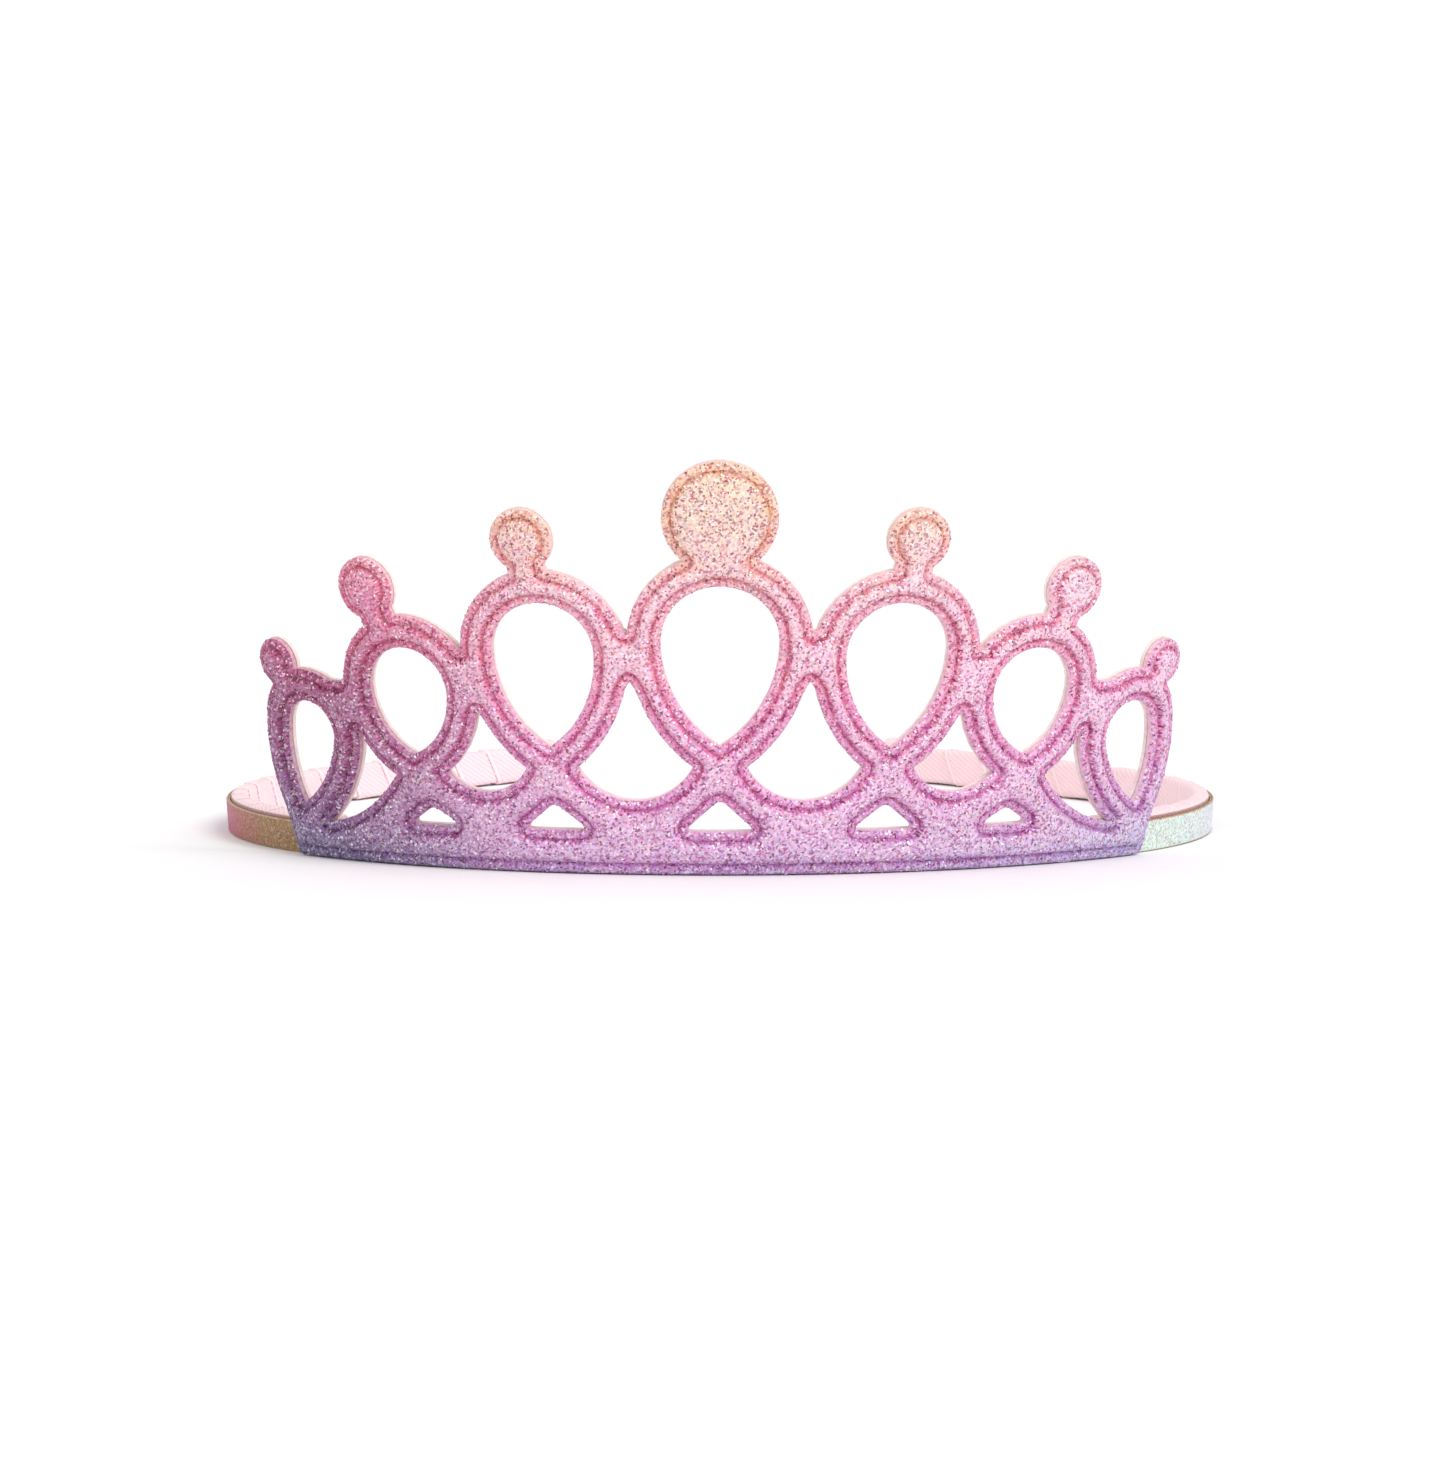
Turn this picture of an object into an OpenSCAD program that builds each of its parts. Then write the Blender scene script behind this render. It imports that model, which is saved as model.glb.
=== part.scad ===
// A mini crown headband. A ribbon-wound band bends round the head, a glitter strip
// covers its outer face, and a pierced, padded crown stands on the front of the strip.
// It lies on z = 0 on the strip's lower edge, the crown faces -Y and x = 0 is the middle.

/* [Hairband] */
// Radius of the front arc, along the joint of ribbon and strip
front_r = 66; // [60:0.5:72]
// Turn of half the front arc
front_turn = 50; // [48:0.5:54]
// Radius of each side arc
side_r = 50; // [44:0.5:56]
// Turn of each side arc
side_turn = 65; // [60:0.5:70]
// Radius of each arc behind the ear
rear_r = 83; // [76:0.5:90]
// Turn of each arc behind the ear
rear_turn = 16; // [12:0.5:20]
// Straight run of each arm
arm_run = 28.5; // [26:0.5:38]
// Radius of the flick that keeps each tip off the skin
tip_r = 7; // [5:0.5:12]
// Turn of each flick
tip_turn = 46; // [30:1:60]
// Straight end of each tip
tip_run = 5.5; // [3:0.5:8]
// Lean of the crown and of the band below it, outwards as they rise
flare = 14; // [8:0.5:18]
// Lean of the arms behind the ears
arm_flare = 2; // [0:0.5:8]
// Height of the ribbon-wound band
band_h = 4.4; // [4:0.1:7]
// Thickness of the ribbon-wound band
band_t = 2; // [1.6:0.1:3]
// Length of band that each turn of ribbon covers
wrap_pitch = 6.9; // [5:0.1:9]
// Step where a turn of ribbon laps the next
wrap_step = 0.25; // [0.1:0.05:0.4]
// Slant of the ribbon's edges across the band
wrap_slant = 28; // [10:1:35]

/* [Glitter strip] */
// Height of the strip
strip_h = 4.2; // [4:0.1:7]
// Thickness of the strip
strip_t = 0.5; // [0.4:0.05:1]

/* [Crown] */
// Height of the crown along its leaning face
crown_h = 51.2; // [46:0.2:58]
// Turn of half the crown's foot round the front arc
crown_turn = 49; // [45:0.5:50]
// Thickness of the backing sheet
back_t = 0.5; // [0.4:0.05:1]
// Thickness of the face sheet where it is pressed flat
face_t = 0.8; // [0.5:0.05:1.5]
// Rise of the padding above the pressed margin
pad_rise = 0.9; // [0.5:0.05:1.5]
// Width of the strand round each loop
strand_w = 4; // [3.6:0.1:4.6]
// Pressed margin along every cut edge
margin_w = 1.1; // [0.8:0.05:1.3]
// Height of the plain border at the foot
border_h = 5.3; // [4.6:0.1:6]
// Pressed margin along the foot
foot_margin = 1.4; // [1:0.1:2]
// Radius of the middle loop's window
loop_r = 7; // [6:0.1:7.4]
// Radius of the tall ball
ball_r = 6.9; // [6:0.1:8]
// Width of the neck under each small ball
neck_w = 4.6; // [4:0.1:5.2]

/* [Fit] */
// Gap between pieces that lie on each other
gap = 0.1; // [0.05:0.01:0.15]

/* [Hidden] */
// How far a cutter reaches past what it cuts
over = 1;
// Half the depth of the prisms that shape the crown
reach = 12;
// How far the outlines of neighbouring loops run into each other
lap = 0.8;
// How deep the padding is rooted in the face sheet
root = 0.2;
// How far the crown's sheets are drawn past its widest place, in degrees
spare_turn = 2;
// How far up each loop's round shoulder its filled outline reaches, as a share
shoulder = 0.9;
// Corner radius of the small windows, and how much of it their tip is lowered by
corner_r = 0.3;
tip_drop = 1.5;
// How far down the pointed top of each bowl-shaped window reaches, and half its angle
point_run = 3;
point_half = 34;
// Points on each loop's half circle and on each of its side arcs
DOME_STEPS = 18;
SIDE_STEPS = 7;
// Facets of the round sheets and of the balls
SHEET_FN = 240;
BALL_FN = 48;
BOWL_FN = 64;
CORNER_FN = 24;

// Half the band from the middle of the front to one tip: radius of each stretch, its
// turn and its straight length. A negative turn bends away from the head.
RADIUS = 0;
TURN = 1;
RUN = 2;
SIDE = 1;
FLICK = 4;
STRETCHES = [
    [front_r, front_turn, 0],
    [side_r, side_turn, 0],
    [rear_r, rear_turn, 0],
    [0, 0, arm_run],
    [tip_r, -tip_turn, 0],
    [0, 0, tip_run],
];

// The loops from the middle outwards, as shares: place round the crown, window radius,
// heights of the window's round centre and of its pointed foot, then its lean in degrees.
PLACE = 0;
WINDOW = 1;
CENTRE = 2;
FOOT = 3;
LEAN = 4;
LOOPS = [
    [0, 1, 0.566, 0.313, 0],
    [0.335, 0.9, 0.536, 0.306, 0],
    [0.625, 0.77, 0.435, 0.277, 2],
    [0.89, 0.557, 0.318, 0.135, 21],
];
// The ball on each loop, as shares: place round the crown, height of its top, its radius
BALL_TOP = 1;
BALL_SIZE = 2;
BALLS = [
    [0, 1, 1],
    [0.358, 0.884, 0.56],
    [0.688, 0.756, 0.56],
    [0.953, 0.543, 0.44],
];
// The dip in the outline on the outer side of each loop, as shares: place and height.
// The last is where the crown's end bulges most.
DIPS = [
    [0.165, 0.572],
    [0.489, 0.527],
    [0.777, 0.442],
    [1.022, 0.18],
];
// The bowl-shaped windows between the loops, as shares: place and height of the bowl's
// centre, its radius against the middle window's, then place and height of the window's
// pointed top.
BOWL_SIZE = 2;
POINT_PLACE = 3;
POINT_TOP = 4;
BOWLS = [
    [0.168, 0.332, 1.124, 0.17, 0.471],
    [0.478, 0.318, 0.929, 0.475, 0.39],
    [0.916, 0.445, 2.6, 0.758, 0.33],
];
// The small windows above the border, as shares: place, half width and height of the tip
HALF_WIDTH = 1;
TIP = 2;
TRIANGLES = [
    [0, 0.61, 0.186],
    [0.333, 0.565, 0.173],
    [0.602, 0.48, 0.153],
];

// Offsets of the layers from the joint of ribbon and strip, outwards and square to them
strip_in = gap;
strip_out = strip_in + strip_t;
back_in = strip_out + gap;
back_out = back_in + back_t;
face_in = back_out + gap;
face_out = face_in + face_t;
pad_out = face_out + pad_rise;
// The crown is lifted so that its lower edge stays just off the surface
crown_lift = (face_out * sin(flare) + gap) / cos(flare);

// One step along the band: the place and heading [x, y, h] after `turn` or `run`
function go(p, s) = s[TURN] == 0
    ? [p.x + s[RUN] * cos(p.z), p.y + s[RUN] * sin(p.z), p.z]
    : let (side = s[TURN] > 0 ? 1 : -1, h = p.z + s[TURN])
      [p.x + side * s[RADIUS] * (sin(h) - sin(p.z)),
       p.y - side * s[RADIUS] * (cos(h) - cos(p.z)), h];
// Place and heading at the start of stretch i, from the middle of the front
function start_of(i) = i == 0 ? [0, -front_r, 0] : go(start_of(i - 1), STRETCHES[i - 1]);
function length_of(s) = s[TURN] == 0 ? s[RUN] : PI * s[RADIUS] * abs(s[TURN]) / 180;
function length_to(i) = i == 0 ? 0 : length_to(i - 1) + length_of(STRETCHES[i - 1]);
half_length = length_to(len(STRETCHES));
// Place and heading at a length d from the middle of the front, along stretch i or later
function along(d, i = 0) =
    let (s = STRETCHES[i], l = length_of(s))
    d > l && i < len(STRETCHES) - 1
        ? along(d - l, i + 1)
        : go(start_of(i), s[TURN] == 0 ? [0, 0, d] : [s[RADIUS], s[TURN] * d / l, 0]);

// Radius of the front cone's surface at an offset, and its height, both at slant s
function cone_r(s, off) = front_r + s * sin(flare) + off * cos(flare);
function cone_z(s, off) = s * cos(flare) - off * sin(flare);
// The front arc's middle, set so that the whole object's box is centred on the origin
tip_back = start_of(len(STRETCHES)).y;
crown_front = max(cone_r(crown_lift + crown_h, face_out),
                  cone_r(crown_lift + crown_h - margin_w, pad_out));
middle_y = (crown_front - tip_back) / 2;

// A point of the crown's face at a turn t from a loop and a height s from the crown's
// foot, as it shows in the flat plane that touches the cone at that loop
function spot(t, s) =
    let (r = cone_r(s + crown_lift, face_out))
    [r * sin(t), s - r * (1 - cos(t)) * sin(flare)];
function loop_turn(i) = LOOPS[i][PLACE] * crown_turn;
function loop_height(i) = LOOPS[i][CENTRE] * crown_h;
function foot_height(i) = LOOPS[i][FOOT] * crown_h;
function window_r(i) = LOOPS[i][WINDOW] * loop_r;
function ball_size(i) = BALLS[i][BALL_SIZE] * ball_r;
function ball_height(i) = BALLS[i][BALL_TOP] * crown_h - ball_size(i);
// Distance from a window's round centre to its pointed foot, along its lean
function drop(i) = (loop_height(i) - foot_height(i)) / cos(LOOPS[i][LEAN]);

function arc(c, r, a0, a1, steps) =
    [for (k = [0:steps]) let (a = a0 + (a1 - a0) * k / steps) c + r * [cos(a), sin(a)]];
function but_last(list) = [for (k = [0:len(list) - 2]) list[k]];
// A drop-shaped outline round the origin: a half circle above, and two wide arcs that
// meet in a point below. It is grown outwards by `grow`.
function drop_shape(r, d, grow) =
    let (side = (r * r + d * d) / (2 * r), b = acos((side - r) / (side + grow)))
    concat(but_last(arc([0, 0], r + grow, 0, 180, DOME_STEPS)),
           but_last(arc([side - r, 0], side + grow, 180, 180 + b, SIDE_STEPS)),
           but_last(arc([r - side, 0], side + grow, 360 - b, 360, SIDE_STEPS)));

// Loop i's drop shape as it lies at a turn t0 on the crown, grown by `grow`
module loop_shape(i, t0, grow) {
    t = loop_turn(i) - t0;
    translate(spot(t, loop_height(i)))
        rotate(LOOPS[i][LEAN] - t * sin(flare))
            polygon(drop_shape(window_r(i), drop(i), grow));
}

// The filled outline of loop i with its ball, its neck and the crown below it. It is
// drawn in from every cut edge by `inset`, and it ends at the height `low`.
module loop_blank(i, inset, low) {
    t0 = loop_turn(i);
    top = loop_height(i) + shoulder * (window_r(i) + strand_w - inset);
    ball = spot(BALLS[i].x * crown_turn - t0, ball_height(i));
    lap_turn = lap / front_r * 180 / PI;
    inset_turn = inset / front_r * 180 / PI;
    left = (i == 0 ? -DIPS[0].x : DIPS[i - 1].x) * crown_turn - t0 - lap_turn;
    left_dip = DIPS[max(i - 1, 0)].y * crown_h - inset;
    last = i == len(LOOPS) - 1;
    right = DIPS[i].x * crown_turn - t0 + (last ? -inset_turn : lap_turn);
    right_dip = DIPS[i].y * crown_h - inset;
    corner = last ? crown_turn - t0 - inset_turn : right;
    loop_shape(i, t0, strand_w - inset);
    translate(ball) circle(r = ball_size(i) - inset, $fn = BALL_FN);
    // The neck runs from the ball's centre towards the window's
    aim = spot(0, loop_height(i)) - ball;
    translate(ball)
        rotate(atan2(aim.y, aim.x))
            translate([0, inset - neck_w / 2])
                square([norm(aim) - window_r(i) - strand_w / 2, neck_w - 2 * inset]);
    polygon([
        spot(left, low),
        spot(left, left_dip),
        spot(0, top),
        spot(right, right_dip),
        spot(corner, low),
    ]);
}

// The bowl-shaped window between loops i and i + 1, grown by `grow`
module bowl_window(i, grow) {
    b = BOWLS[i];
    t0 = b.x * crown_turn;
    next_lean = tan(LOOPS[i + 1][LEAN]) * (loop_height(i + 1) - foot_height(i + 1));
    next_foot = spot(loop_turn(i + 1) - t0, foot_height(i + 1)) + [next_lean, 0];
    top_height = b[POINT_TOP] * crown_h;
    left = spot(loop_turn(i) - t0, top_height).x;
    right = spot(loop_turn(i + 1) - t0, top_height).x;
    point = spot(b[POINT_PLACE] * crown_turn - t0, top_height);
    point_w = point_run * tan(point_half);
    difference() {
        intersection() {
            translate(spot(0, b.y * crown_h)) circle(r = b[BOWL_SIZE] * loop_r + grow, $fn = BOWL_FN);
            union() {
                translate(point)
                    offset(r = grow, $fn = CORNER_FN)
                        polygon([[0, 0], [-point_w, -point_run], [point_w, -point_run]]);
                polygon([
                    spot(loop_turn(i) - t0, 0),
                    [left, point.y - point_run],
                    [right, point.y - point_run],
                    next_foot,
                    [next_foot.x, 0],
                ]);
            }
        }
        loop_shape(i, t0, strand_w - grow);
        loop_shape(i + 1, t0, strand_w - grow);
    }
}

// The small window i above the border, grown by `grow`
module triangle_window(i, grow) {
    half = TRIANGLES[i][HALF_WIDTH] * loop_r - 2 * corner_r;
    offset(r = grow + corner_r, $fn = CORNER_FN)
        polygon([
            [-half, border_h + corner_r],
            [half, border_h + corner_r],
            [0, TRIANGLES[i][TIP] * crown_h - tip_drop * corner_r],
        ]);
}

// Stands a flat outline on the crown's leaning face at a turn t from the middle
module on_face(t) {
    translate([0, middle_y, 0])
        rotate(t)
            translate([0, -cone_r(crown_lift, face_out), cone_z(crown_lift, face_out)])
                rotate([90 + flare, 0, 0])
                    translate([0, 0, -reach])
                        linear_extrude(2 * reach)
                            children();
}

// Draws what it is given on the right, and mirrored on the left unless it is the middle
module both_sides(t) {
    on_face(t) children();
    if (t > 0) mirror([1, 0, 0]) on_face(t) children();
}

module blanks(inset, low) {
    for (i = [0:len(LOOPS) - 1]) both_sides(loop_turn(i)) loop_blank(i, inset, low);
}

module windows(grow) {
    for (i = [0:len(LOOPS) - 1]) both_sides(loop_turn(i)) loop_shape(i, loop_turn(i), grow);
    for (i = [0:len(BOWLS) - 1]) both_sides(BOWLS[i].x * crown_turn) bowl_window(i, grow);
    for (i = [0:len(TRIANGLES) - 1])
        both_sides(TRIANGLES[i][PLACE] * crown_turn) triangle_window(i, grow);
}

// A sheet on the front cone between two offsets, wide enough for the whole crown
module cone_sheet(inner, outer) {
    low = crown_lift;
    high = crown_lift + crown_h + over;
    wrap = crown_turn * DIPS[len(DIPS) - 1].x + spare_turn;
    translate([0, middle_y, 0])
        rotate(-90 - wrap)
            rotate_extrude(angle = 2 * wrap, $fn = SHEET_FN)
                polygon([
                    [cone_r(low, inner), cone_z(low, inner)],
                    [cone_r(low, outer), cone_z(low, outer)],
                    [cone_r(high, outer), cone_z(high, outer)],
                    [cone_r(high, inner), cone_z(high, inner)],
                ]);
}

// A pierced layer of the crown between two offsets
module crown_layer(inner, outer, inset, low) {
    difference() {
        intersection() {
            cone_sheet(inner, outer);
            union() blanks(inset, low);
        }
        windows(inset);
    }
}

// The ribbon-wound band's section, round its edge: u outwards and v up, as shares of the
// thickness and the height. The last column is how far the ribbon's laps show there.
U = 0;
V = 1;
LAP = 2;
SECTION = [
    [0, 0.12, 0],
    [0, 0.88, 0],
    [-0.15, 1, 0.5],
    [-0.5, 1.02, 1],
    [-0.85, 0.97, 1],
    [-1, 0.8, 1],
    [-1.04, 0.5, 1],
    [-1, 0.2, 1],
    [-0.85, 0.03, 1],
    [-0.5, -0.02, 1],
    [-0.15, 0, 0.5],
];
// Each turn of ribbon is drawn by rings at these shares of its pitch. Its surface rises
// to the last of them, where it laps the next turn. The turns at the tips have more.
TURN_RINGS = [0, 0.5, 0.94];
TIP_RINGS = [0, 0.16, 0.32, 0.48, 0.64, 0.8, 0.94];

turns = round(2 * half_length / wrap_pitch);
turn_length = 2 * half_length / turns;
tip_turns = ceil((length_of(STRETCHES[FLICK]) + tip_run) / turn_length);
function rings_of(k) = min(k, turns - 1 - k) < tip_turns ? TIP_RINGS : TURN_RINGS;
// The turns' slant dies out over this length at each tip, so that the ends are square
square_end = wrap_pitch;
// The band's lowest point stays just off the surface
band_low = gap + wrap_step;

// Place and heading at a length d from the middle, to the left where d is negative
function on_band(d) =
    let (p = along(min(abs(d), half_length)))
    d < 0 ? [-p.x, p.y, -p.z] : p;
// The band's lean at a length d. Over this share of the side, next to the crown, it eases
// from the crown's lean to the arms'.
ease_share = 0.7;
function lean_at(d) =
    let (past = abs(d) - length_to(SIDE),
         share = min(1, max(0, past / length_of(STRETCHES[SIDE]) / ease_share)))
    flare + (arm_flare - flare) * share * share * (3 - 2 * share);
// A point beside the band's path: `out` away from the head and `up` above the surface
function beside(d, out, up) =
    let (p = on_band(d))
    [p.x + out * sin(p.z), p.y - out * cos(p.z) + middle_y, up];

// Every ring's length from the middle, and the share of a lap's step that it shows
RINGS = concat(
    [for (k = [0:turns - 1], r = rings_of(k))
        [(k + r) * turn_length - half_length, r / max(TURN_RINGS)]],
    [[half_length, 0]]);

// The band's section at a length d, with the lap raised by `lift`
function band_ring(d, lift) =
    let (fade = min(1, (half_length - abs(d)) / square_end), lean = lean_at(d))
    [for (q = SECTION)
        let (slant = (q[V] - 0.5) * band_h * tan(wrap_slant) * fade * q[LAP],
             rise = lift * wrap_step * q[LAP],
             u = q[U] * band_t - (q[U] < -0.5 ? rise : 0),
             v = q[V] * band_h + (q[V] > 0.9 ? rise : q[V] < 0.1 ? -rise : 0))
        beside(d + slant,
               u * cos(lean) + v * sin(lean) + band_low * tan(lean),
               v * cos(lean) - u * sin(lean) + band_low)];

// The strip's section at a length d: it leans with the band, and is flat above and below
function strip_ring(d) =
    let (lean = lean_at(d),
         rise = strip_h * tan(lean),
         inner = strip_in / cos(lean),
         outer = strip_out / cos(lean))
    [beside(d, outer, 0), beside(d, outer + rise, strip_h),
     beside(d, inner + rise, strip_h), beside(d, inner, 0)];

module closed_tube(rings) {
    n = len(rings[0]);
    last = len(rings) - 1;
    polyhedron(
        points = [for (ring = rings, p = ring) p],
        faces = concat(
            [[for (j = [n - 1:-1:0]) j]],
            [for (i = [0:last - 1], j = [0:n - 1])
                let (a = i * n + j, b = i * n + (j + 1) % n)
                each [[a, b + n, a + n], [a, b, b + n]]],
            [[for (j = [0:n - 1]) last * n + j]]));
}

module ribbon_band() {
    color("pink") closed_tube([for (r = RINGS) band_ring(r[0], r[1])]);
}

module glitter_strip() {
    color("plum") closed_tube([for (r = RINGS) strip_ring(r[0])]);
}

module crown_backing() {
    color("seashell")
        crown_layer(back_in, back_out, 0, -over);
}

module crown_face() {
    color("orchid") {
        crown_layer(face_in, face_out, 0, -over);
        crown_layer(face_out - root, pad_out, margin_w, foot_margin);
    }
}

ribbon_band();
glitter_strip();
crown_backing();
crown_face();
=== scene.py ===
# %% [markdown]
# # A mini crown headband
#
# A small crown of padded glitter cloth stands on the front of a hairband. The hairband is
# wound with a pale pink ribbon, and a thin glitter strip covers its outer face. The lesson
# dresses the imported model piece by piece: ribbon, strip, backing, crown and loose glitter.
#
# Every length is in metres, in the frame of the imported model: the floor is z = 0, the
# crown faces -Y and x = 0 is the middle.

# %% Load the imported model
import math

import bmesh
import bpy
import numpy as np
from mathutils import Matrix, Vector, geometry, kdtree, noise


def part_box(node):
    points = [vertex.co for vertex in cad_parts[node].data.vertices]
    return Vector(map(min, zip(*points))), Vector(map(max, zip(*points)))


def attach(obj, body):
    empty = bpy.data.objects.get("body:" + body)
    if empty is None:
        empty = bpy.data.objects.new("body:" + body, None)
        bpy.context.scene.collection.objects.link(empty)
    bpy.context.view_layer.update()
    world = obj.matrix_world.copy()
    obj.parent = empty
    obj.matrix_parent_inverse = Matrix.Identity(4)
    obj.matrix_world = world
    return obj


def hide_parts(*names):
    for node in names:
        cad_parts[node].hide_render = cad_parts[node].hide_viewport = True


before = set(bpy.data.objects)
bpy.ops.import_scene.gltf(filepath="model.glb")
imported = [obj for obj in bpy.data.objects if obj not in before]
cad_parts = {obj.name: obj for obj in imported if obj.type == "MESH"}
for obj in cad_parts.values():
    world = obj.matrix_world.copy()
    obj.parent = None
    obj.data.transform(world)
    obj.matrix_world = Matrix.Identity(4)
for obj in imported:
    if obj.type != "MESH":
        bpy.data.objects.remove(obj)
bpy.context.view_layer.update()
MM = 0.001

# %% [markdown]
# ## The camera
#
# The photograph looks straight at the crown from about 25 degrees below the band. The
# headband lies on the floor here, so the camera keeps to the middle and comes down nearly
# to the floor. A long lens far away gives the same flat, undistorted look.

# %% Set up the camera
ELEVATION = math.radians(5)
DISTANCE = 0.8
AIM = Vector((0, 0, 0.012))
# The photograph's long side and its focal length, both in its pixels
LONG_SIDE = 1465
FOCAL = 6240
SENSOR = 36

camera_data = bpy.data.cameras.new("camera")
camera_data.sensor_width = SENSOR
camera_data.lens = SENSOR * FOCAL / LONG_SIDE
camera_data.clip_start = 0.05
camera = bpy.data.objects.new("camera", camera_data)
bpy.context.scene.collection.objects.link(camera)
back = Vector((0, -math.cos(ELEVATION), math.sin(ELEVATION)))
camera.location = AIM + DISTANCE * back
camera.rotation_euler = back.to_track_quat("Z", "Y").to_euler()
bpy.context.scene.camera = camera
print("camera at", [round(v, 3) for v in camera.location], "lens", round(camera_data.lens, 1))

# %% [markdown]
# ## Floor and light
#
# A studio sweep is a pale sheet that bends up behind the object, so no edge shows. Here it
# is a wide round dish, so that it works from every side. One big soft lamp stands to the
# right in front, a weaker one to the left, and the pale sky fills in the shadows.

# %% Helpers for colours, nodes and materials
bpy.context.scene.view_settings.view_transform = "Standard"


def paint(code):
    """A colour from its six-figure code, in the linear values that Blender mixes."""
    parts = [int(code[i:i + 2], 16) / 255 for i in (0, 2, 4)]
    return [p / 12.92 if p <= 0.04045 else ((p + 0.055) / 1.055) ** 2.4 for p in parts] + [1]


def add(tree, kind, inputs=None, **choices):
    """Adds a node, makes its choices, and fills its inputs with values or with links."""
    node = tree.nodes.new(kind)
    for key, value in choices.items():
        setattr(node, key, value)
    for key, value in (inputs or {}).items():
        if isinstance(value, bpy.types.NodeSocket):
            tree.links.new(value, node.inputs[key])
        else:
            node.inputs[key].default_value = value
    return node


def new_material(name, **finish):
    """A material with one Principled shader, whose plain values sit on its own sockets."""
    material = bpy.data.materials.new(name)
    material.use_nodes = True
    shader = material.node_tree.nodes["Principled BSDF"]
    for key, value in finish.items():
        shader.inputs[key.replace("_", " ")].default_value = value
    return material, material.node_tree, shader


def texture_noise(tree, scale, detail, vector=None):
    """Soft random clouds: a number from 0 to 1 and a random colour at every place."""
    inputs = {"Scale": scale, "Detail": detail}
    if vector is not None:
        inputs["Vector"] = vector
    return add(tree, "ShaderNodeTexNoise", inputs).outputs


# %% Build the dish
# Its rings: radius and height
DISH = [(0.5, 0.0), (2.0, 0.0), (3.0, 0.02), (3.6, 0.2), (4.0, 0.6), (4.2, 1.2)]
DISH_SIDES = 96
turns = [2 * math.pi * k / DISH_SIDES for k in range(DISH_SIDES)]
dish = bmesh.new()
rings = []
for radius, height in DISH:
    rings.append([dish.verts.new((radius * math.cos(a), radius * math.sin(a), height)) for a in turns])
dish.faces.new(rings[0])
for inner, outer in zip(rings, rings[1:]):
    for k in range(DISH_SIDES):
        j = (k + 1) % DISH_SIDES
        dish.faces.new((inner[k], outer[k], outer[j], inner[j])).smooth = True
floor_mesh = bpy.data.meshes.new("floor")
dish.to_mesh(floor_mesh)
dish.free()
floor = bpy.data.objects.new("floor", floor_mesh)
bpy.context.scene.collection.objects.link(floor)
floor_material, floor_tree, floor_shader = new_material("pale_floor", Roughness=0.9)
grain = texture_noise(floor_tree, 3.0, 2.0)
tone = add(floor_tree, "ShaderNodeValToRGB", {"Fac": grain["Fac"]})
tone.color_ramp.elements[0].color = paint("f9f8f9")
tone.color_ramp.elements[1].color = paint("fdfcfd")
floor_tree.links.new(tone.outputs["Color"], floor_shader.inputs["Base Color"])
floor_mesh.materials.append(floor_material)
print("dish has", len(floor_mesh.polygons), "faces")

# %% Set the sky and the lamps
SKY = 0.75
world = bpy.data.worlds.new("studio")
world.use_nodes = True
world.node_tree.nodes["Background"].inputs["Color"].default_value = (1, 1, 1, 1)
world.node_tree.nodes["Background"].inputs["Strength"].default_value = SKY
bpy.context.scene.world = world

# Each lamp's name, the place it shines from, its softness in degrees and its strength
LAMPS = [
    ("key_light", (0.8, -1.0, 1.1), 34, 1.5),
    ("fill_light", (-1.0, -0.8, 0.5), 60, 0.35),
]
for name, place, softness, strength in LAMPS:
    lamp_data = bpy.data.lights.new(name, "SUN")
    lamp_data.angle = math.radians(softness)
    lamp_data.energy = strength
    lamp = bpy.data.objects.new(name, lamp_data)
    lamp.location = place
    lamp.rotation_euler = Vector(place).to_track_quat("Z", "Y").to_euler()
    bpy.context.scene.collection.objects.link(lamp)
    print(name, "from", place, "strength", strength)

# %% [markdown]
# ## The line of the band
#
# The band bends round the head in a few plain arcs: a front arc, two side arcs, two long
# easy arcs behind the ears, two straight arms, and a small flick at each tip. Both the
# ribbon and the strip follow this line, so it is worked out once. The band also leans: the
# front leans out with the crown, and the arms stand nearly upright.

# %% Repeat the band's sizes
FRONT_R = 66 * MM
# From the middle to one tip: radius, turn in degrees and straight run of each stretch
STRETCHES = [
    (FRONT_R, 50, 0),
    (50 * MM, 65, 0),
    (83 * MM, 16, 0),
    (0, 0, 28.5 * MM),
    (7 * MM, -46, 0),
    (0, 0, 5.5 * MM),
]
LENGTHS = [run if turn == 0 else radius * math.radians(abs(turn)) for radius, turn, run in STRETCHES]
HALF = sum(LENGTHS)
FLARE = math.radians(14)
ARM_FLARE = math.radians(2)
EASE = 0.7 * LENGTHS[1]
GAP = 0.1 * MM
STRIP_H = 4.2 * MM
STRIP_OUT = 0.6 * MM
PATH_PIECES = 700
strip_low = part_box("glitter_strip")[0]
MIDDLE_Y = strip_low.y + FRONT_R + STRIP_OUT / math.cos(FLARE) + STRIP_H * math.tan(FLARE)
print("band length", round(2 * HALF, 4), "m, middle at y =", round(MIDDLE_Y, 5))


# %% Walk along the band
def on_band(d):
    """Place and heading at a length d from the middle of the front, left where negative."""
    left = abs(d)
    x, y, heading = 0.0, -FRONT_R, 0.0
    for (radius, turn, run), length in zip(STRETCHES, LENGTHS):
        share = min(left, length) / length
        if turn == 0:
            x += run * share * math.cos(heading)
            y += run * share * math.sin(heading)
        else:
            side = math.copysign(radius, turn)
            after = heading + math.radians(turn) * share
            x += side * (math.sin(after) - math.sin(heading))
            y -= side * (math.cos(after) - math.cos(heading))
            heading = after
        left -= length
        if left <= 0:
            break
    return (-x, y, -heading) if d < 0 else (x, y, heading)


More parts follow.
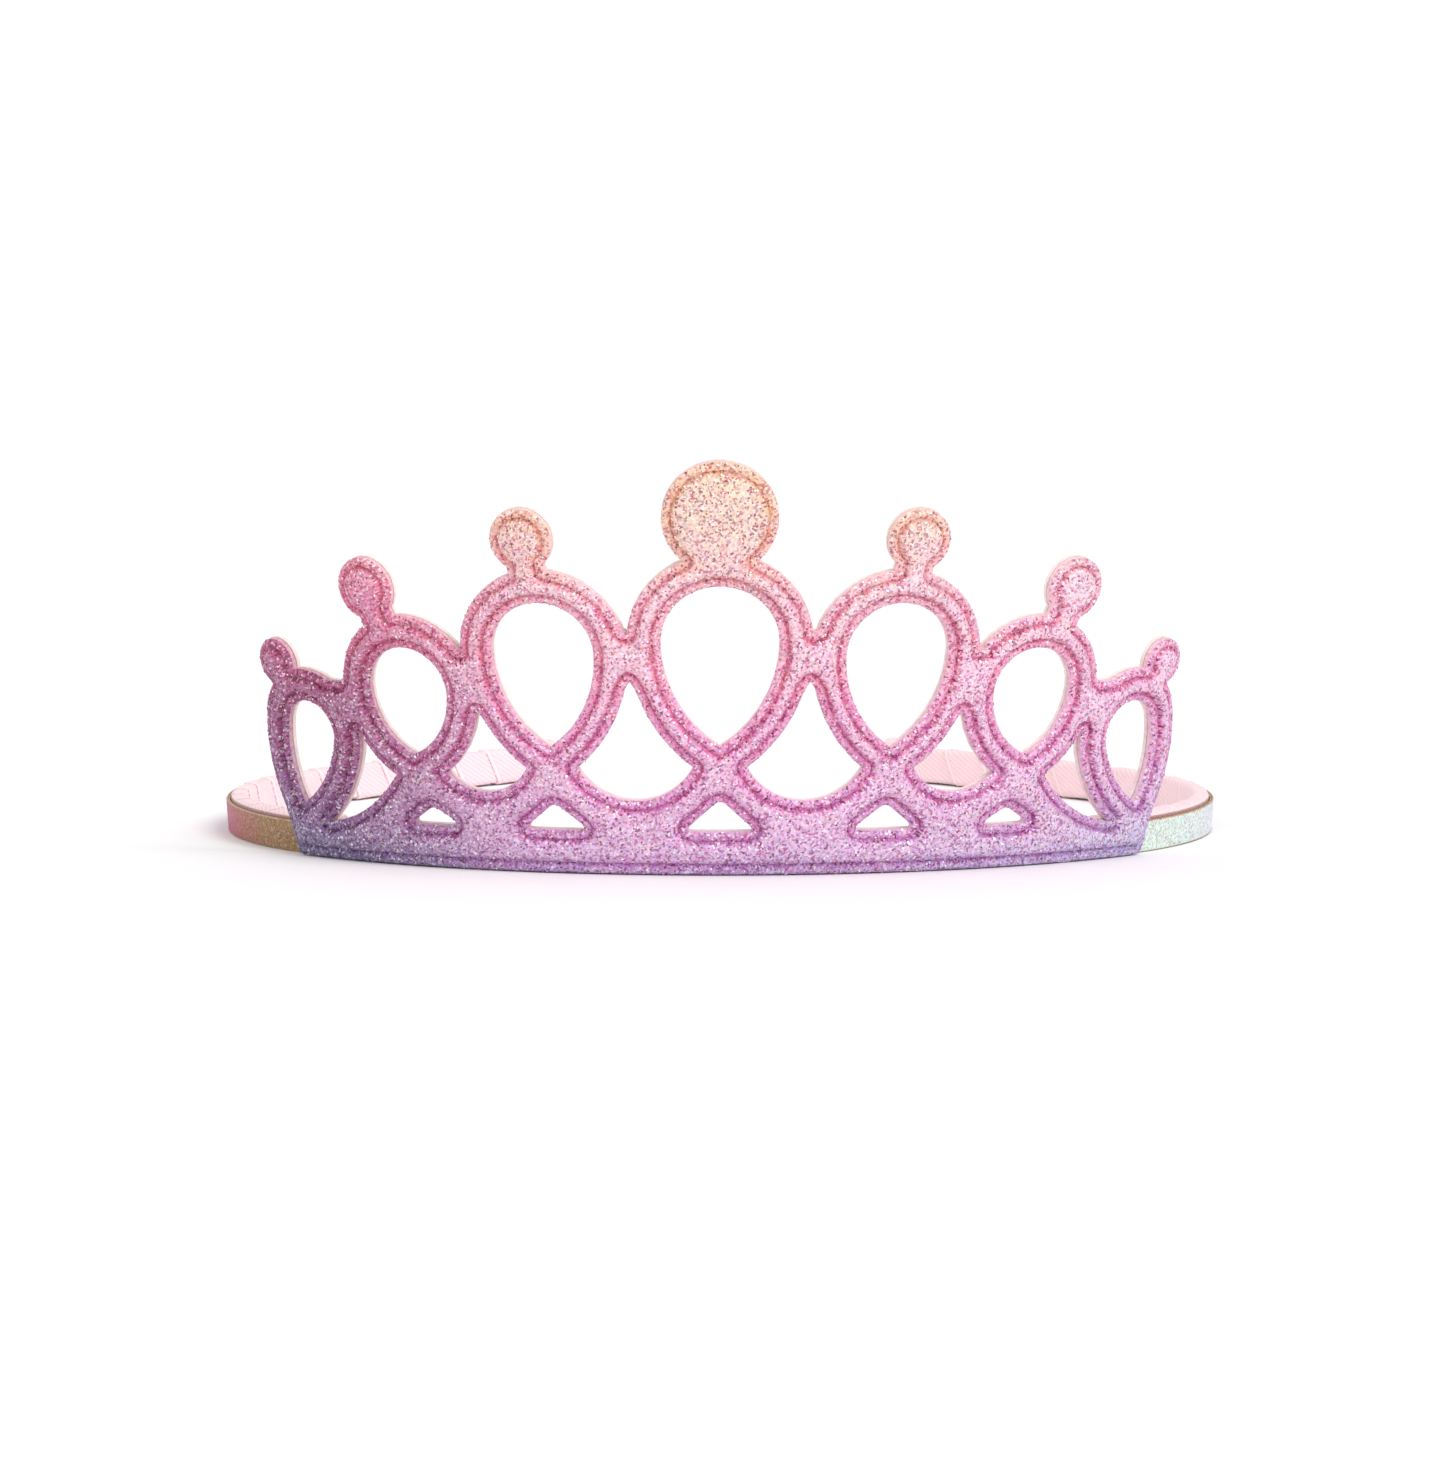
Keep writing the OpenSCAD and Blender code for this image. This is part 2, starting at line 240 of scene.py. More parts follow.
def lean_at(d):
    """The lean eases from the crown's to the arms' along the first part of each side."""
    share = min(1, max(0, (abs(d) - LENGTHS[0]) / EASE))
    return FLARE + (ARM_FLARE - FLARE) * share * share * (3 - 2 * share)


def band_path(name, lift):
    """A line from tip to tip, at a height lift on the joint of ribbon and strip."""
    curve = bpy.data.curves.new(name, "CURVE")
    curve.dimensions = "3D"
    line = curve.splines.new("POLY")
    line.points.add(PATH_PIECES)
    for k, point in enumerate(line.points):
        d = -HALF + 2 * HALF * k / PATH_PIECES
        x, y, heading = on_band(d)
        out = lift * math.tan(lean_at(d))
        point.co = (x + out * math.sin(heading), y - out * math.cos(heading) + MIDDLE_Y, lift, 1)
        point.tilt = lean_at(d)
    carrier = bpy.data.objects.new(name, curve)
    bpy.context.scene.collection.objects.link(carrier)
    return carrier


print("the band starts at", [round(v, 4) for v in on_band(-HALF)[:2]], "from the front arc's centre")

# %% [markdown]
# ## Geometry Nodes helpers
#
# Ribbon and strip are both a section drawn along a line, which is what Curve to Mesh does.
# A tree gets named inputs for its sizes, so that one tree can draw several pieces. When a
# piece is finished its tree is turned into a plain mesh, so nothing live is left on it.

# %% Make trees and end them
def calc(tree, operation, a, b=0.0):
    """One sum, on numbers or on links."""
    return add(tree, "ShaderNodeMath", {0: a, 1: b}, operation=operation).outputs[0]


def slope(tree, value, low, high, first, last, curve="LINEAR"):
    """Goes from first to last while the value goes from low to high."""
    return add(
        tree, "ShaderNodeMapRange", {0: value, 1: low, 2: high, 3: first, 4: last},
        interpolation_type=curve,
    ).outputs[0]


def new_tree(name, sizes):
    """An empty Geometry Nodes tree with a geometry input and the named inputs."""
    tree = bpy.data.node_groups.new(name, "GeometryNodeTree")
    tree.interface.new_socket("Geometry", in_out="INPUT", socket_type="NodeSocketGeometry")
    for label, kind in sizes:
        tree.interface.new_socket(label, in_out="INPUT", socket_type="NodeSocket" + kind)
    tree.interface.new_socket("Geometry", in_out="OUTPUT", socket_type="NodeSocketGeometry")
    return tree, add(tree, "NodeGroupInput").outputs


def end_tree(tree, shape, material):
    """Every tree ends in Realize Instances and Set Material."""
    real = add(tree, "GeometryNodeRealizeInstances", {"Geometry": shape})
    dressed = add(tree, "GeometryNodeSetMaterial", {"Geometry": real.outputs[0], "Material": material})
    add(tree, "NodeGroupOutput", {"Geometry": dressed.outputs[0]})


# %% Run a tree and keep its result
def grow(carrier, tree, values, name):
    """Runs a tree on an object and keeps what it makes as a plain mesh at the origin."""
    modifier = carrier.modifiers.new("grow", "NODES")
    modifier.node_group = tree
    for item in tree.interface.items_tree:
        if item.in_out == "INPUT" and item.name in values:
            modifier[item.identifier] = values[item.name]
    depsgraph = bpy.context.evaluated_depsgraph_get()
    mesh = bpy.data.meshes.new_from_object(
        carrier.evaluated_get(depsgraph), preserve_all_data_layers=True, depsgraph=depsgraph
    )
    carrier.modifiers.remove(modifier)
    mesh.name = name
    piece = bpy.data.objects.new(name, mesh)
    bpy.context.scene.collection.objects.link(piece)
    return piece


def report(piece):
    """Prints a piece's triangles, its open edges and its volume."""
    shape = bmesh.new()
    shape.from_mesh(piece.data)
    open_edges = sum(1 for e in shape.edges if len(e.link_faces) != 2)
    volume = shape.calc_volume(signed=True) * 1e9
    shape.free()
    triangles = sum(len(p.vertices) - 2 for p in piece.data.polygons)
    print(piece.name, "triangles", triangles, "open edges", open_edges, "mm3", round(volume))


# %% [markdown]
# ## One tree for the ribbon and the strip
#
# The section is a rectangle with rounded corners. On the ribbon, every turn laps the next
# with a small step and its edges run at a slant. The tree slants the rings of the mesh and
# lifts each ring a little more than the last until the turn ends, so a real edge is left
# there. Only the inner, upper and lower faces are wound: the outer one lies on the strip.

# %% Name the tree's inputs
SWEEP_SIZES = [
    ("Rows", "Int"),
    ("Thickness", "Float"),
    ("Height", "Float"),
    ("Corner", "Float"),
    ("Outer face", "Float"),
    ("Section points", "Int"),
    ("Rows in a turn", "Int"),
    ("Step", "Float"),
    ("Slant", "Float"),
    ("Square end", "Float"),
    ("Start", "Float"),
    ("Material", "Material"),
]
sweep, size = new_tree("swept_band", SWEEP_SIZES)
print("sweep tree has", len(SWEEP_SIZES), "named inputs")


# %% Draw the section
def keep(tree, shape, name, value, kind="FLOAT", domain="POINT"):
    """Stores a value on the shape under a name, for later nodes and for the material."""
    node = add(
        tree, "GeometryNodeStoreNamedAttribute", {"Geometry": shape, "Name": name, "Value": value},
        data_type=kind, domain=domain,
    )
    return node.outputs[0]


def kept(tree, name, kind="FLOAT"):
    """Reads a stored value."""
    return add(tree, "GeometryNodeInputNamedAttribute", {"Name": name}, data_type=kind).outputs[0]


# In the section x runs outwards from the joint of ribbon and strip, and y runs down
box = add(
    sweep, "GeometryNodeCurvePrimitiveQuadrilateral",
    {"Width": size["Thickness"], "Height": size["Height"]},
)
rounded = add(
    sweep, "GeometryNodeFilletCurve",
    {"Curve": box.outputs[0], "Radius": size["Corner"], "Count": 4, "Limit Radius": True}, mode="POLY",
)
shift_x = calc(sweep, "SUBTRACT", size["Outer face"], calc(sweep, "MULTIPLY", size["Thickness"], 0.5))
shift_y = calc(sweep, "MULTIPLY", size["Height"], -0.5)
shift = add(sweep, "ShaderNodeCombineXYZ", {"X": shift_x, "Y": shift_y})
placed = add(
    sweep, "GeometryNodeTransform", {"Geometry": rounded.outputs[0], "Translation": shift.outputs[0]}
)
section = add(
    sweep, "GeometryNodeResampleCurve",
    {"Curve": placed.outputs[0], "Count": size["Section points"]}, mode="COUNT",
).outputs[0]
place = add(sweep, "ShaderNodeSeparateXYZ", {0: add(sweep, "GeometryNodeInputPosition").outputs[0]})
for label, axis, whole in (("inward", "X", "Thickness"), ("up", "Y", "Height")):
    share = calc(sweep, "DIVIDE", calc(sweep, "MULTIPLY", place.outputs[axis], -1.0), size[whole])
    section = keep(sweep, section, label, share)
section = keep(sweep, section, "around", add(sweep, "GeometryNodeSplineParameter").outputs["Length"])

# %% Sweep the section along the line
# The rings are evenly spaced, and upright apart from the lean
line = add(
    sweep, "GeometryNodeResampleCurve", {"Curve": size["Geometry"], "Count": size["Rows"]}, mode="COUNT"
).outputs[0]
line = add(sweep, "GeometryNodeSetCurveNormal", {"Curve": line}, mode="Z_UP").outputs[0]
walk = add(sweep, "GeometryNodeSplineParameter")
line = keep(sweep, line, "along", calc(sweep, "ADD", walk.outputs["Length"], size["Start"]))
line = keep(sweep, line, "ring", walk.outputs["Index"])
line = keep(sweep, line, "heading", add(sweep, "GeometryNodeInputTangent").outputs[0], "FLOAT_VECTOR")
tube = add(
    sweep, "GeometryNodeCurveToMesh", {"Curve": line, "Profile Curve": section, "Fill Caps": True}
).outputs[0]

# %% Slant the turns
# The slant dies out towards the tips
wound = slope(sweep, kept(sweep, "inward"), 0.02, 0.25, 0.0, 1.0)
from_tip = calc(sweep, "SUBTRACT", HALF, calc(sweep, "ABSOLUTE", kept(sweep, "along")))
fade = calc(sweep, "MINIMUM", calc(sweep, "DIVIDE", from_tip, size["Square end"]), 1.0)
fade = calc(sweep, "MAXIMUM", fade, 0.0)
slide = calc(sweep, "MULTIPLY", calc(sweep, "SUBTRACT", kept(sweep, "up"), 0.5), size["Height"])
slide = calc(sweep, "MULTIPLY", slide, calc(sweep, "TANGENT", size["Slant"]))
slide = calc(sweep, "MULTIPLY", calc(sweep, "MULTIPLY", slide, fade), wound)
tube = keep(sweep, tube, "slide", slide)
move = add(
    sweep, "ShaderNodeVectorMath",
    {0: kept(sweep, "heading", "FLOAT_VECTOR"), "Scale": kept(sweep, "slide")}, operation="SCALE",
).outputs[0]
tube = add(sweep, "GeometryNodeSetPosition", {"Geometry": tube, "Offset": move}).outputs[0]

# %% Lap the turns and finish the tree
# Each turn rises to its last ring and drops there
in_turn = calc(sweep, "FLOORED_MODULO", kept(sweep, "ring"), size["Rows in a turn"])
rise = calc(sweep, "DIVIDE", in_turn, calc(sweep, "SUBTRACT", size["Rows in a turn"], 1.0))
rise = calc(sweep, "MULTIPLY", calc(sweep, "MULTIPLY", rise, size["Step"]), wound)
lift = add(
    sweep, "ShaderNodeVectorMath",
    {0: add(sweep, "GeometryNodeInputNormal").outputs[0], "Scale": rise}, operation="SCALE",
).outputs[0]
tube = add(sweep, "GeometryNodeSetPosition", {"Geometry": tube, "Offset": lift}).outputs[0]
tube = keep(sweep, tube, "turns", calc(sweep, "DIVIDE", kept(sweep, "ring"), size["Rows in a turn"]))
spot = add(
    sweep, "ShaderNodeCombineXYZ",
    {"X": calc(sweep, "ADD", kept(sweep, "along"), kept(sweep, "slide")), "Y": kept(sweep, "around")},
).outputs[0]
tube = keep(sweep, tube, "flat", spot, "FLOAT2", "CORNER")
tube = add(sweep, "GeometryNodeSetShadeSmooth", {"Geometry": tube}).outputs[0]
end_tree(sweep, tube, size["Material"])
print("sweep tree has", len(sweep.nodes), "nodes")

# %% [markdown]
# ## Ribbon cloth
#
# Grosgrain ribbon has fine ribs across its width, so on the wound band they run nearly
# along it, square to the slanted edges. The flat map of the mesh gives the length along
# the band and the way round it, and a sine of the two makes the ribs, with painted shade in
# the gaps between them. The selvedge of each turn carries a painted highlight, and the edge
# of each turn a thin rose line of painted shadow, broken where the weave catches the light.

# %% More helpers for materials
def flat_map(tree):
    """The piece's own flat map, in metres."""
    return add(tree, "ShaderNodeUVMap", uv_map="flat").outputs[0]


def attribute(tree, name):
    """A number stored on the mesh under a name."""
    return add(tree, "ShaderNodeAttribute", attribute_name=name).outputs["Fac"]


def ramp(tree, value, stops, interpolation="LINEAR"):
    """A colour ramp with stops of place and colour code."""
    node = add(tree, "ShaderNodeValToRGB", {"Fac": value})
    node.color_ramp.interpolation = interpolation
    marks = node.color_ramp.elements
    while len(marks) < len(stops):
        marks.new(1.0)
    for mark, (position, code) in zip(marks, stops):
        mark.position = position
        mark.color = paint(code)
    return node.outputs["Color"]


def mix(tree, share, first, second, blend="MIX"):
    """Mixes two colours."""
    node = add(tree, "ShaderNodeMix", data_type="RGBA", blend_type=blend)
    for socket, value in ((node.inputs[0], share), (node.inputs[6], first), (node.inputs[7], second)):
        if isinstance(value, bpy.types.NodeSocket):
            tree.links.new(value, socket)
        else:
            socket.default_value = value
    return node.outputs[2]


def times(tree, first, second):
    """One colour seen through another, which can only darken it."""
    return mix(tree, 1.0, first, second, "MULTIPLY")


def band_of(tree, value, low, high, soft):
    """One between low and high, fading to nothing over soft on either side."""
    up = slope(tree, value, low - soft, low, 0.0, 1.0)
    return calc(tree, "MULTIPLY", up, slope(tree, value, high, high + soft, 1.0, 0.0))


def emboss(tree, shader, height, strength, depth):
    """Lets a height shade the surface, as relief too fine for the mesh."""
    bump = add(tree, "ShaderNodeBump", {"Height": height, "Strength": strength, "Distance": depth})
    tree.links.new(bump.outputs[0], shader.inputs["Normal"])


# %% Weave the ribs
WRAP_SLANT = math.radians(28)
RIB = 0.56 * MM
ribbon_material, tree, shader = new_material(
    "ribbon_cloth", Roughness=0.55, Sheen_Weight=0.25, Sheen_Roughness=0.4, Specular_IOR_Level=0.35
)
flat = flat_map(tree)
parts = add(tree, "ShaderNodeSeparateXYZ", {0: flat})
across = calc(tree, "MULTIPLY", parts.outputs["X"], math.sin(WRAP_SLANT))
across = calc(tree, "ADD", across, calc(tree, "MULTIPLY", parts.outputs["Y"], -math.cos(WRAP_SLANT)))
wobble = texture_noise(tree, 420.0, 2.0, flat)["Fac"]
phase = calc(tree, "MULTIPLY", across, 2 * math.pi / RIB)
phase = calc(tree, "ADD", phase, calc(tree, "MULTIPLY", wobble, 1.6))
ribs = calc(tree, "MULTIPLY", calc(tree, "ADD", calc(tree, "SINE", phase), 1.0), 0.5)
ribs = calc(tree, "POWER", ribs, 0.6)

# %% Colour the edges with painted shadow and painted highlight, and finish the ribbon material
# A turn of ribbon holds the stitches first, then the selvedge with its painted highlight, and at last the
# edge, where a thin line of painted shadow marks the foot of the lap
in_turn = calc(tree, "FRACT", attribute(tree, "turns"))
inward = attribute(tree, "inward")
inner = slope(tree, inward, 0.8, 0.95, 0.35, 1.0)
dash = texture_noise(tree, 2600.0, 1.0, flat)["Fac"]
# Painted shadow: a thin rose line at the foot of each lap, broken where the weave catches the light
edge = band_of(tree, in_turn, 0.984, 1.0, 0.006)
edge = calc(tree, "MULTIPLY", edge, ramp(tree, dash, [(0.36, "707070"), (0.56, "ffffff")]))
edge = calc(tree, "MULTIPLY", edge, inner)
# The selvedge: its raised weave goes into the bump, and its paler colour is a painted highlight
selvedge_highlight = band_of(tree, in_turn, 0.89, 0.975, 0.012)
stitch = band_of(tree, in_turn, 0.872, 0.88, 0.008)
stitch = calc(tree, "MULTIPLY", stitch, calc(tree, "MULTIPLY", inner, 0.4))
seam = slope(tree, inward, 0.03, 0.07, 0.8, 0.0)
blotch = texture_noise(tree, 160.0, 3.0, flat)["Fac"]
cloth = ramp(tree, blotch, [(0.3, "fbd6dc"), (0.5, "fde0e4"), (0.7, "fbd9e2")])
# Painted shade: the gaps between the ribs are darkened
rib_gap_shade = calc(tree, "MULTIPLY", calc(tree, "SUBTRACT", 1.0, ribs), calc(tree, "SUBTRACT", 1.0, selvedge_highlight))
cloth = mix(tree, calc(tree, "MULTIPLY", rib_gap_shade, 0.38), cloth, paint("e9b3c0"))
cloth = mix(tree, calc(tree, "MULTIPLY", selvedge_highlight, 0.4), cloth, paint("ffeaec"))
cloth = mix(tree, stitch, cloth, paint("e3a3b0"))
cloth = mix(tree, edge, cloth, paint("cf97a4"))
cloth = mix(tree, seam, cloth, paint("8d6355"))
tree.links.new(cloth, shader.inputs["Base Color"])
threads = texture_noise(tree, 6000.0, 2.0, flat)["Fac"]
height = calc(tree, "ADD", ribs, calc(tree, "MULTIPLY", threads, 0.3))
height = calc(tree, "ADD", height, calc(tree, "MULTIPLY", selvedge_highlight, 1.2))
emboss(tree, shader, height, 0.6, 0.06 * MM)
print("ribbon material has", len(tree.nodes), "nodes")

# %% [markdown]
# ## The ribbon-wound band
#
# The ribbon is wound round a springy core that never shows, so the piece is one soft tube
# with 51 laps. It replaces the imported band, whose laps are drawn with only a few rings.

# %% Wind the ribbon
TURNS = 51
ROWS_IN_TURN = 24
WRAP_STEP = 0.25 * MM
WRAP_PITCH = 6.9 * MM

path = band_path("ribbon_path", GAP + WRAP_STEP)
ribbon = grow(path, sweep, {
    "Rows": TURNS * ROWS_IN_TURN + 1,
    "Thickness": 2.0 * MM,
    "Height": 4.4 * MM,
    "Corner": 0.5 * MM,
    "Outer face": 0.0,
    "Section points": 48,
    "Rows in a turn": ROWS_IN_TURN,
    "Step": WRAP_STEP,
    "Slant": WRAP_SLANT,
    "Square end": WRAP_PITCH,
    "Start": -HALF,
    "Material": ribbon_material,
}, "wound_ribbon")
bpy.data.objects.remove(path)
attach(ribbon, "root")
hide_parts("ribbon_band")
report(ribbon)

# %% [markdown]
# ## Glitter materials
#
# Glitter cloth is a film of tiny flakes glued on a backing. Each flake is flat and lies a
# little askew, so at any moment a few flash, most show their own colour and some look
# dark. A cell texture gives each flake its own random colour. That colour decides how light
# the flake is, with painted glints on many and painted dark reflections on a few, and,
# through a normal map, which way it faces.

# %% Colours for the flakes
# Each flake draws a number from 0 to 1: the lowest give painted dark reflections, the next up to RICH_END
# deep pink, and the highest painted glints
DARK_REFLECTION_END = 0.024
RICH_END = 0.12
HUES = [(0.0, "f56ab8"), (0.14, "d3a6f7"), (0.21, "ffffff"), (0.84, "fff3c4"), (0.95, "cfeef0")]
GLINT_STOPS = [(0.0, "000000"), (0.5, "4c4c4c"), (0.7, "8c8c8c"), (0.86, "ffffff")]


def flake_colours(tree, ground, pick, hue, deep, glint):
    """A ground colour turned into flakes: some take a hue, a few get painted dark reflections, many get
    painted glints.
    """
    colour = mix(tree, 0.55, ground, times(tree, ground, ramp(tree, hue, HUES, "CONSTANT")))
    dark_reflection = ramp(tree, pick, [(0.0, "ffffff"), (DARK_REFLECTION_END, "000000")], "CONSTANT")
    rich = ramp(tree, pick, [(0.0, "000000"), (DARK_REFLECTION_END, "ffffff"), (RICH_END, "000000")], "CONSTANT")
    # Deep pink is the flakes' own colour; the dark flakes are painted dark reflections
    for share, code in ((rich, "cf6f9d"), (dark_reflection, "74405f")):
        colour = mix(tree, calc(tree, "MULTIPLY", share, deep), colour, times(tree, colour, paint(code)))
    # Painted glints: flakes with high numbers are mixed towards near white
    glint_share = calc(tree, "MULTIPLY", ramp(tree, pick, GLINT_STOPS, "CONSTANT"), glint)
    return mix(tree, glint_share, colour, paint("fff8fa"))


# %% Glitter cloth as a material
def glitter(name, ground, flake, deep, glint, **finish):
    """Glitter cloth: ground(tree) gives the cloth's own colour, flake is a flake's width."""
    material, tree, shader = new_material(name, **finish)
    flat = flat_map(tree)
    cells = add(
        tree, "ShaderNodeTexVoronoi", {"Vector": flat, "Scale": 1 / flake, "Randomness": 1.0},
        voronoi_dimensions="2D", feature="F1",
    )
    parts = add(tree, "ShaderNodeSeparateColor", {0: cells.outputs["Color"]})
    colour = flake_colours(tree, ground(tree), parts.outputs[0], parts.outputs[1], deep, glint)
    tree.links.new(colour, shader.inputs["Base Color"])
    tilt = mix(tree, 0.55, (0.5, 0.5, 1.0, 1), cells.outputs["Color"])
    facing = add(tree, "ShaderNodeNormalMap", {"Color": tilt, "Strength": 0.7}, uv_map="flat")
    tree.links.new(facing.outputs[0], shader.inputs["Normal"])
    return material


# %% [markdown]
# ## The glitter strip
#
# The strip is a ribbon of the same kind of cloth, cut from a sheet with a pearly sheen that
# runs from olive gold through rose and magenta on the left to mint and lavender on the
# right. It has two layers: glitter film outside and a tan backing inside. Both are drawn
# with the same tree as the ribbon, with no laps.

# %% Mix the film and the tan backing
STRIP_STOPS = [
    (0.00, "d6cade"), (0.10, "dcc4dc"), (0.19, "cc8fba"), (0.235, "b84f8d"), (0.262, "bb587e"),
    (0.285, "b2655f"), (0.31, "a67a54"), (0.335, "9f884c"), (0.50, "c9c7a0"), (0.66, "dff5e6"),
    (0.70, "e0f4ec"), (0.735, "e2eaf3"), (0.77, "dddcf3"), (0.86, "ddd6ee"), (1.00, "dccfe0"),
]


def strip_colour(tree):
    """The sheen's colour by the length along the band, tan along the cut edges."""
    along = add(tree, "ShaderNodeSeparateXYZ", {0: flat_map(tree)}).outputs["X"]
    share = slope(tree, along, -HALF, HALF, 0.0, 1.0)
    cloud = texture_noise(tree, 220.0, 2.0, flat_map(tree))["Fac"]
    drift = calc(tree, "MULTIPLY", calc(tree, "SUBTRACT", cloud, 0.5), 0.03)
    colour = ramp(tree, calc(tree, "ADD", share, drift), STRIP_STOPS)
    face = band_of(tree, attribute(tree, "up"), 0.05, 0.95, 0.03)
    return mix(tree, face, paint("c9ab84"), colour)


# On the strip the flakes' painted glints and painted dark reflections are kept faint
strip_material = glitter(
    "strip_glitter", strip_colour, flake=0.2 * MM, deep=0.22, glint=0.26,
    Metallic=0.1, Roughness=0.5, Specular_IOR_Level=0.3,
)
tan_material, tree, shader = new_material("strip_backing", Roughness=0.8)
fuzz = texture_noise(tree, 1500.0, 3.0, flat_map(tree))["Fac"]
tan = ramp(tree, fuzz, [(0.3, "a3795c"), (0.45, "cfab88"), (0.7, "e6cdb0")])
tree.links.new(tan, shader.inputs["Base Color"])
emboss(tree, shader, fuzz, 0.4, 0.03 * MM)

print("strip materials:", strip_material.name, "and", tan_material.name)

# %% Draw the strip's two layers
# Each layer's name, the offset of its outer face, thickness, height and material
LAYERS = [
    ("strip_film", STRIP_OUT, 0.26 * MM, 4.15 * MM, strip_material),
    ("strip_felt", 0.34 * MM, 0.24 * MM, 4.05 * MM, tan_material),
]
for name, outer_face, thickness, height, cover in LAYERS:
    path = band_path(name + "_path", STRIP_OUT * math.sin(FLARE))
    layer = grow(path, sweep, {
        "Rows": 520,
        "Thickness": thickness,
        "Height": height,
        "Corner": 0.09 * MM,
        "Outer face": outer_face,
        "Section points": 40,
        "Rows in a turn": 10,
        "Step": 0.0,
        "Slant": 0.0,
        "Square end": 1.0,
        "Start": -HALF,
        "Material": cover,
    }, name)
    bpy.data.objects.remove(path)
    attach(layer, "root")
    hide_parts("glitter_strip")
    report(layer)

# %% [markdown]
# ## The crown's outline, laid flat
#
# The crown was die-cut from flat cloth and then bent round the band, onto a surface that is
# part of a cone. Unrolling that cone gives back the flat pattern. The rim of the packed
# face tells where the cuts are: its back sheet is copied, merged and unrolled, and its open
# edges are followed round each window and round the outside.

# %% Unroll the cone and roll it up again
APEX = FRONT_R / math.sin(FLARE)
print("the flat pattern bends about a point", round(APEX, 4), "m below it")


def unroll(p):
    """A point near the cone as its place on the flat pattern and its offset from the joint."""
    x, y = p[0], p[1] - MIDDLE_Y
    beyond = math.hypot(x, y) - FRONT_R
    slant = beyond * math.sin(FLARE) + p[2] * math.cos(FLARE)
    offset = beyond * math.cos(FLARE) - p[2] * math.sin(FLARE)
    turn = math.atan2(x, -y) * math.sin(FLARE)
    return (APEX + slant) * math.sin(turn), (APEX + slant) * math.cos(turn) - APEX, offset


def roll(x, y, offset):
    """The way back: a place on the flat pattern, bent onto the cone at an offset."""
    slant = math.hypot(x, y + APEX) - APEX
    turn = math.atan2(x, y + APEX) / math.sin(FLARE)
    radius = FRONT_R + slant * math.sin(FLARE) + offset * math.cos(FLARE)
    height = slant * math.cos(FLARE) - offset * math.sin(FLARE)
    return radius * math.sin(turn), MIDDLE_Y - radius * math.cos(turn), height


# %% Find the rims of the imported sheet
# The sheet's two faces, as offsets from the joint of ribbon and strip
FACE_BACK = 1.3 * MM
FACE_FRONT = 2.1 * MM
# Points within SAME of each other are one point, and NEAR is the finest detail followed
SAME = 0.001 * MM
NEAR = 0.03 * MM


def open_rims(node, depth):
    """The closed rims of a packed sheet's face at a depth, on the flat pattern."""
    copy = bmesh.new()
    copy.from_mesh(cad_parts[node].data)
    bmesh.ops.remove_doubles(copy, verts=copy.verts, dist=SAME)
    flat = {v: unroll(v.co) for v in copy.verts}
    near = {v for v in copy.verts if abs(flat[v][2] - depth) < NEAR}
    sheet = {f for f in copy.faces if all(v in near for v in f.verts)}
    after = {}
    for edge in copy.edges:
        if sum(f in sheet for f in edge.link_faces) == 1:
            a, b = edge.verts
            after.setdefault(a, []).append(b)
            after.setdefault(b, []).append(a)
    rims = []
    while after:
        start = next(iter(after))
        rim, here = [start], after[start][0]
        before = start
        while here is not start:
            rim.append(here)
            onward = [v for v in after[here] if v is not before]
            before, here = here, onward[0]
        for v in rim:
            del after[v]
        rims.append([flat[v][:2] for v in rim])
    copy.free()
    return rims


def area_of(rim):
    """The area inside a rim, negative where the rim runs clockwise."""
    x, y = np.array(rim).T
    return 0.5 * float(np.sum(x * np.roll(y, -1) - y * np.roll(x, -1)))


rims = [(area_of(rim), rim) for rim in open_rims("crown_face", FACE_BACK)]
rims.sort(key=lambda pair: -abs(pair[0]))
print("the pattern has", len(rims) - 1, "windows, and its outside is", round(abs(rims[0][0]) * 1e6), "mm2")

# %% Space the rims' points evenly
RIM_STEP = 0.33 * MM
SHARP = math.radians(26)
SOFTENING = 5


def tidy_rim(rim, step):
    """Spaces a rim's points evenly between its sharp corners and rounds off its facets."""
    points = [np.array(rim[0])]
    for p in rim[1:]:
        if np.linalg.norm(np.array(p) - points[-1]) > NEAR:
            points.append(np.array(p))
    points = np.array(points)
    before = points - np.roll(points, 1, 0)
    onward = np.roll(points, -1, 0) - points
    bend = np.arctan2(before[:, 0] * onward[:, 1] - before[:, 1] * onward[:, 0], (before * onward).sum(1))
    sharp = [k for k in range(len(points)) if abs(bend[k]) > SHARP] or [0]
    fixed = len(sharp) > 1 or abs(bend[sharp[0]]) > SHARP
    even, corners = [], []
    for a, b in zip(sharp, sharp[1:] + [sharp[0] + len(points)]):
        line = points[[k % len(points) for k in range(a, b + 1)]]
        far = np.concatenate([[0], np.cumsum(np.linalg.norm(np.diff(line, axis=0), axis=1))])
        count = max(2, round(far[-1] / step))
        for j in range(count):
            t = far[-1] * j / count
            corners.append(fixed and j == 0)
            even.append((np.interp(t, far, line[:, 0]), np.interp(t, far, line[:, 1])))
    even, free = np.array(even), ~np.array(corners)
    for _ in range(SOFTENING):
        soft = (np.roll(even, 1, 0) + 2 * even + np.roll(even, -1, 0)) / 4
        even[free] = soft[free]
    return even


# The outside comes first. It runs anticlockwise and the windows clockwise
cuts = []
for k, (area, rim) in enumerate(rims):
    wanted = 1 if k == 0 else -1
    cuts.append(tidy_rim(rim if area * wanted > 0 else rim[::-1], RIM_STEP))
print("the cuts have", sum(len(cut) for cut in cuts), "points")

